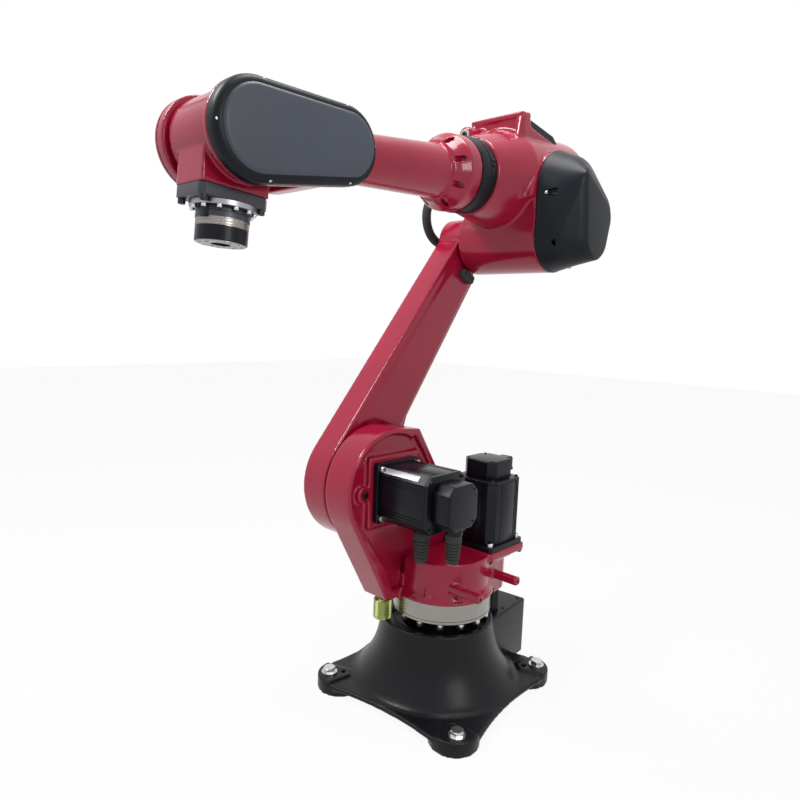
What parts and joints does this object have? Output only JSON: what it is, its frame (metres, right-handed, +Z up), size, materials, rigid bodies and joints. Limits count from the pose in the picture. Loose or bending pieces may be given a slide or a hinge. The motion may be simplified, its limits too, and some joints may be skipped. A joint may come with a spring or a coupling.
{
  "type": "industrial robot arm",
  "caption": "Articulated factory robot arm: footed pedestal, turning waist, leaning upper arm, covered elbow, tapering forearm and a wrist with a round tool flange.",
  "frame": {"origin": "on the floor plane at the waist axis, on the machined pad under the base", "axes": "+Z up along the waist axis; +X the way the arm reaches in the rest pose; +Y the side of the shoulder motor and of the large elbow cover"},
  "size_m": [0.985, 0.4328, 1.275],
  "materials": {
    "red_paint": "gloss",
    "black_paint": "satin",
    "black_plastic": "fine grained",
    "motor_black": "satin",
    "steel": "machined",
    "bare_aluminium": "satin",
    "urethane": "slightly clear",
    "black_rubber": "dull",
    "grey_metal": "satin"
  },
  "bodies": {
    "base": {"base_casting": "black_paint", "base_cable_box": "black_paint", "rear_connector_panel": "bare_aluminium", "rear_sockets": "black_plastic", "waist_reducer_ring": "steel"},
    "turret": {"turret_casting": "red_paint", "shoulder_reducer_disc": "steel", "waist_motor_body": "motor_black", "waist_motor_encoder": "motor_black", "waist_motor_connectors": "black_plastic", "shoulder_motor_body": "motor_black", "shoulder_motor_encoder": "motor_black", "shoulder_motor_connectors": "black_plastic", "waist_stop_pin": "steel", "waist_stop_sleeve": "urethane"},
    "upper_arm": {"upper_arm_casting": "red_paint", "arm_foot_cap": "black_plastic", "arm_head_cap": "black_plastic", "elbow_stop_bumper": "black_rubber"},
    "elbow": {"elbow_housing": "red_paint", "elbow_reducer_disc": "steel", "forearm_collar": "black_plastic", "elbow_motor_cover": "black_plastic", "elbow_back_cover": "black_plastic", "elbow_conduit": "black_plastic"},
    "forearm": {"forearm_casting": "red_paint", "wrist_belt_cover": "red_paint", "wrist_far_cap": "red_paint"},
    "wrist": {"wrist_casting": "red_paint", "wrist_flange_plate": "red_paint", "tool_reducer_flange": "steel", "tool_reducer_body": "grey_metal", "tool_reducer_band": "steel"},
    "tool": {"tool_flange": "motor_black"}
  },
  "joints": [
    {"name": "waist", "type": "hinge", "parent": "base", "child": "turret", "pos_m": [0, 0, 0.211], "axis": [0, 0, 1], "range_deg": [-159.7, 170.3]},
    {"name": "shoulder", "type": "hinge", "parent": "turret", "child": "upper_arm", "pos_m": [0.138, 0, 0.468], "axis": [0, 1, 0], "range_deg": [-38, 127]},
    {"name": "elbow_swing", "type": "hinge", "parent": "upper_arm", "child": "elbow", "pos_m": [-0.2038, 0, 1.01499], "axis": [0, -1, 0], "range_deg": [-38, 122]},
    {"name": "forearm_roll", "type": "hinge", "parent": "elbow", "child": "forearm", "pos_m": [-0.19264, 0, 1.1425], "axis": [0.9962, 0, -0.0872], "range_deg": [-180, 180]},
    {"name": "wrist_bend", "type": "hinge", "parent": "forearm", "child": "wrist", "pos_m": [0.55251, 0, 1.07731], "axis": [0, 1, 0], "range_deg": [-195, 35]},
    {"name": "tool_turn", "type": "hinge", "parent": "wrist", "child": "tool", "pos_m": [0.55251, 0, 1.07731], "axis": [0.0872, 0, -0.9962], "range_deg": [-360, 360]}
  ]
}
